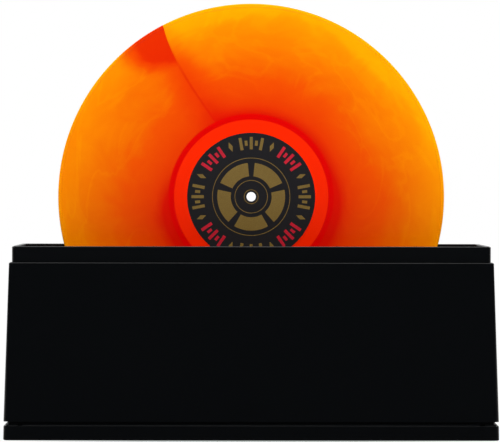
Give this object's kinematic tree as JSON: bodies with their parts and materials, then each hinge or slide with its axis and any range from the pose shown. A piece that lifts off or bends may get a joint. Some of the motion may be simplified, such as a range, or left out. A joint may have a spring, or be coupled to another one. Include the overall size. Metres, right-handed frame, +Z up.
{
  "type": "record cleaning machine",
  "caption": "Hand-turned washer for vinyl records: tapered housing on a drip tray, lift-out basin with grooved rollers and brush pads, and an upright record with its rim in the rollers.",
  "frame": {"origin": "centre of the footprint, on the surface that the washer stands on", "axes": "+X to the right seen from the front, +Y from the front to the back, +Z up; the record stands in the XZ plane"},
  "size_m": [0.3778, 0.1604, 0.337],
  "materials": {
    "housing_plastic": "satin black moulded ABS with a fine texture",
    "basin_plastic": "satin black moulded ABS, smoother than the housing",
    "rack_plastic": "dark grey moulded acetal, semi-matt",
    "hub_plastic": "grey moulded acetal",
    "bush_plastic": "natural acetal, slightly waxy",
    "roller_rubber": "soft matt black rubber",
    "foot_rubber": "matt dark rubber",
    "axle_steel": "drawn stainless steel with fine lines along it",
    "brush_pile": "short dense nylon pile",
    "brush_foam": "closed-cell foam",
    "record_vinyl": "marbled orange, red and yellow pressed vinyl, glossy between its grooves",
    "label_paper": "uncoated black paper with a gold and red printed pattern"
  },
  "bodies": {
    "tray": {"drip_tray": "housing_plastic", "tray_feet": "foot_rubber"},
    "housing": {"housing": "housing_plastic"},
    "basin": {"basin": "basin_plastic", "rack_front": "rack_plastic", "rack_rear": "rack_plastic", "roller_axle_left": "axle_steel", "roller_axle_right": "axle_steel", "roller_spacers_left": "bush_plastic", "roller_spacers_right": "bush_plastic"},
    "record": {"record_disc": "record_vinyl", "record_label_front": "label_paper", "record_label_rear": "label_paper"},
    "roller_left": {"roller_hub_left": "hub_plastic", "roller_tyre_left": "roller_rubber", "roller_bushes_left": "bush_plastic"},
    "roller_right": {"roller_hub_right": "hub_plastic", "roller_tyre_right": "roller_rubber", "roller_bushes_right": "bush_plastic"},
    "brush_front": {"brush_holder_front": "rack_plastic", "brush_foam_front": "brush_foam", "brush_pad_front": "brush_pile"},
    "brush_rear": {"brush_holder_rear": "rack_plastic", "brush_foam_rear": "brush_foam", "brush_pad_rear": "brush_pile"}
  },
  "joints": [
    {"name": "housing_lift", "type": "slide", "parent": "tray", "child": "housing", "axis": [0, 0, 1], "range_m": [0, 0.05]},
    {"name": "basin_lift", "type": "slide", "parent": "housing", "child": "basin", "axis": [0, 0, 1], "range_m": [0, 0.13]},
    {"name": "record_spin", "type": "hinge", "parent": "basin", "child": "record", "pos_m": [0, 0, 0.1862], "axis": [0, 1, 0], "continuous": true},
    {"name": "roller_left_spin", "type": "hinge", "parent": "basin", "child": "roller_left", "pos_m": [-0.11717, 0, 0.06903], "axis": [0, 1, 0], "continuous": true},
    {"name": "roller_right_spin", "type": "hinge", "parent": "basin", "child": "roller_right", "pos_m": [0.11717, 0, 0.06903], "axis": [0, 1, 0], "continuous": true},
    {"name": "brush_front_lift", "type": "slide", "parent": "basin", "child": "brush_front", "axis": [0, 0, 1], "range_m": [0, 0.115]},
    {"name": "brush_rear_lift", "type": "slide", "parent": "basin", "child": "brush_rear", "axis": [0, 0, 1], "range_m": [0, 0.115]}
  ],
  "couplings": [
    {"joint": "roller_left_spin", "follows": "record_spin", "ratio": -10.329},
    {"joint": "roller_right_spin", "follows": "record_spin", "ratio": -10.329}
  ]
}
